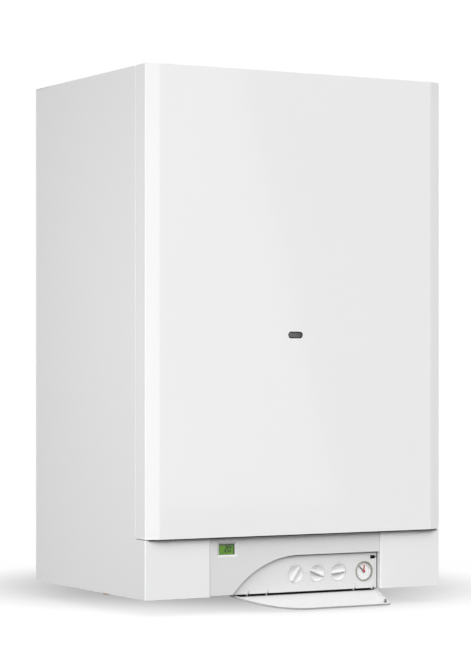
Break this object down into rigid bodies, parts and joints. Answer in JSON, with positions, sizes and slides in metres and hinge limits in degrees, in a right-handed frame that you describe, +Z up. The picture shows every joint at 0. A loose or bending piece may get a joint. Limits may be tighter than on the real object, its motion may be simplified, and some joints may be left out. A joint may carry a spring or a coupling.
{
  "type": "wall-hung gas boiler",
  "caption": "Wall-hung gas boiler in a white folded-sheet case with a pull-off front, a tilting control unit with knobs and gauge under a hinged flap, and all its inner parts.",
  "frame": {"origin": "midway between the two wall screw holes, on the wall plane", "axes": "+Z up, +Y into the wall, so the front faces -Y and +X is to the right seen from the front"},
  "size_m": [0.592, 0.4752, 0.9448],
  "materials": {
    "white_sheet": "gloss white enamel",
    "white_plastic": "satin white moulding",
    "galvanised": "galvanised sheet",
    "steel": "plated steel",
    "black_plastic": "black moulding",
    "grey_plastic": "grey moulding",
    "dark_glass": "dark sight glass",
    "clear_glass": "clear",
    "display": "green liquid crystal",
    "board": "green circuit board",
    "dial": "printed dial",
    "red": "red",
    "blue": "blue moulding",
    "copper": "copper",
    "brass": "cast brass",
    "ceramic": "glazed ceramic",
    "fibre": "ceramic fibre board",
    "aluminium": "die cast",
    "cast_iron": "painted casting",
    "vessel_red": "red enamel",
    "motor_green": "green enamel"
  },
  "bodies": {
    "casing": {"back_panel": "galvanised", "wall_rails": "galvanised", "left_side_panel": "white_sheet", "right_side_panel": "white_sheet", "top_panel": "white_sheet", "bottom_tray": "galvanised", "panel_studs": "steel", "case_screws": "steel", "chamber_box": "galvanised", "chamber_cover": "galvanised", "burner_tray": "steel", "burner_bars": "steel", "gas_manifold": "brass", "electrodes": "ceramic", "combustion_shell": "steel", "insulation_boards": "fibre", "exchanger_fins": "copper", "exchanger_tubes": "copper", "flue_hood": "galvanised", "fan_housing": "aluminium", "fan_motor": "black_plastic", "flue_collar": "white_sheet", "air_pressure_switch": "grey_plastic", "expansion_vessel": "vessel_red", "expansion_pipe": "copper", "pump_body": "cast_iron", "pump_motor": "motor_green", "flow_pipe": "copper", "return_pipe": "copper", "three_way_valve": "brass", "valve_actuator": "grey_plastic", "plate_exchanger": "steel", "water_pipes": "copper", "gas_valve": "aluminium", "gas_pipe": "copper", "safety_valve": "brass", "filling_tap": "brass", "pipe_unions": "brass"},
    "front_cover": {"front_panel": "white_sheet", "panel_catches": "black_plastic", "sight_glass": "dark_glass"},
    "control_unit": {"control_fascia": "white_plastic", "control_box": "grey_plastic", "main_board": "board", "display_module": "display", "selector_switches": "black_plastic", "gauge_body": "grey_plastic", "gauge_dial": "dial", "gauge_glass": "clear_glass"},
    "flap": {"service_flap": "white_plastic"},
    "water_selector": {"water_knob": "white_plastic"},
    "heating_selector": {"heating_knob": "white_plastic"},
    "mode_selector": {"mode_knob": "white_plastic"},
    "pressure_hand": {"gauge_hand": "black_plastic"},
    "set_hand": {"gauge_set_hand": "red"},
    "fan_wheel": {"fan_impeller": "aluminium"},
    "pump_wheel": {"pump_impeller": "grey_plastic"},
    "diverter_stem": {"valve_stem": "steel"},
    "relief_cap": {"safety_valve_cap": "red"},
    "filling_handle": {"filling_tap_handle": "blue"}
  },
  "joints": [
    {"name": "front_panel_pull", "type": "slide", "parent": "casing", "child": "front_cover", "axis": [0, -1, 0], "range_m": [0, 0.35]},
    {"name": "control_tilt", "type": "hinge", "parent": "casing", "child": "control_unit", "pos_m": [0, -0.424, -0.83], "axis": [1, 0, 0], "range_deg": [0, 60]},
    {"name": "flap_hinge", "type": "hinge", "parent": "control_unit", "child": "flap", "pos_m": [0, -0.4254, -0.8336], "axis": [-1, 0, 0], "range_deg": [0, 114]},
    {"name": "water_knob_turn", "type": "hinge", "parent": "control_unit", "child": "water_selector", "pos_m": [0.0016, -0.43, -0.8083], "axis": [0, 1, 0], "range_deg": [-168, 102]},
    {"name": "heating_knob_turn", "type": "hinge", "parent": "control_unit", "child": "heating_selector", "pos_m": [0.0451, -0.43, -0.8083], "axis": [0, 1, 0], "range_deg": [-69, 201]},
    {"name": "mode_knob_turn", "type": "hinge", "parent": "control_unit", "child": "mode_selector", "pos_m": [0.0886, -0.43, -0.8083], "axis": [0, 1, 0], "range_deg": [0, 180]},
    {"name": "pressure_hand_turn", "type": "hinge", "parent": "control_unit", "child": "pressure_hand", "pos_m": [0.1421, -0.428, -0.8087], "axis": [0, 1, 0], "range_deg": [-90, 180], "stiffness_Nm_per_rad": 0.002},
    {"name": "set_hand_turn", "type": "hinge", "parent": "control_unit", "child": "set_hand", "pos_m": [0.1421, -0.428, -0.8087], "axis": [0, 1, 0], "range_deg": [-140, 125]},
    {"name": "fan_spin", "type": "hinge", "parent": "casing", "child": "fan_wheel", "pos_m": [-0.029, -0.2582, -0.0278], "axis": [0, 1, 0], "continuous": true},
    {"name": "pump_spin", "type": "hinge", "parent": "casing", "child": "pump_wheel", "pos_m": [0.19, -0.1732, -0.69], "axis": [0, 1, 0], "continuous": true},
    {"name": "diverter_slide", "type": "slide", "parent": "casing", "child": "diverter_stem", "axis": [0, 1, 0], "range_m": [0, 0.008], "stiffness_N_per_m": 800},
    {"name": "relief_cap_turn", "type": "hinge", "parent": "casing", "child": "relief_cap", "pos_m": [0.125, -0.1732, -0.655], "axis": [0, 0, 1], "range_deg": [0, 90]},
    {"name": "filling_handle_turn", "type": "hinge", "parent": "casing", "child": "filling_handle", "pos_m": [0.125, -0.14, -0.852], "axis": [0, 0, 1], "range_deg": [0, 180]}
  ]
}
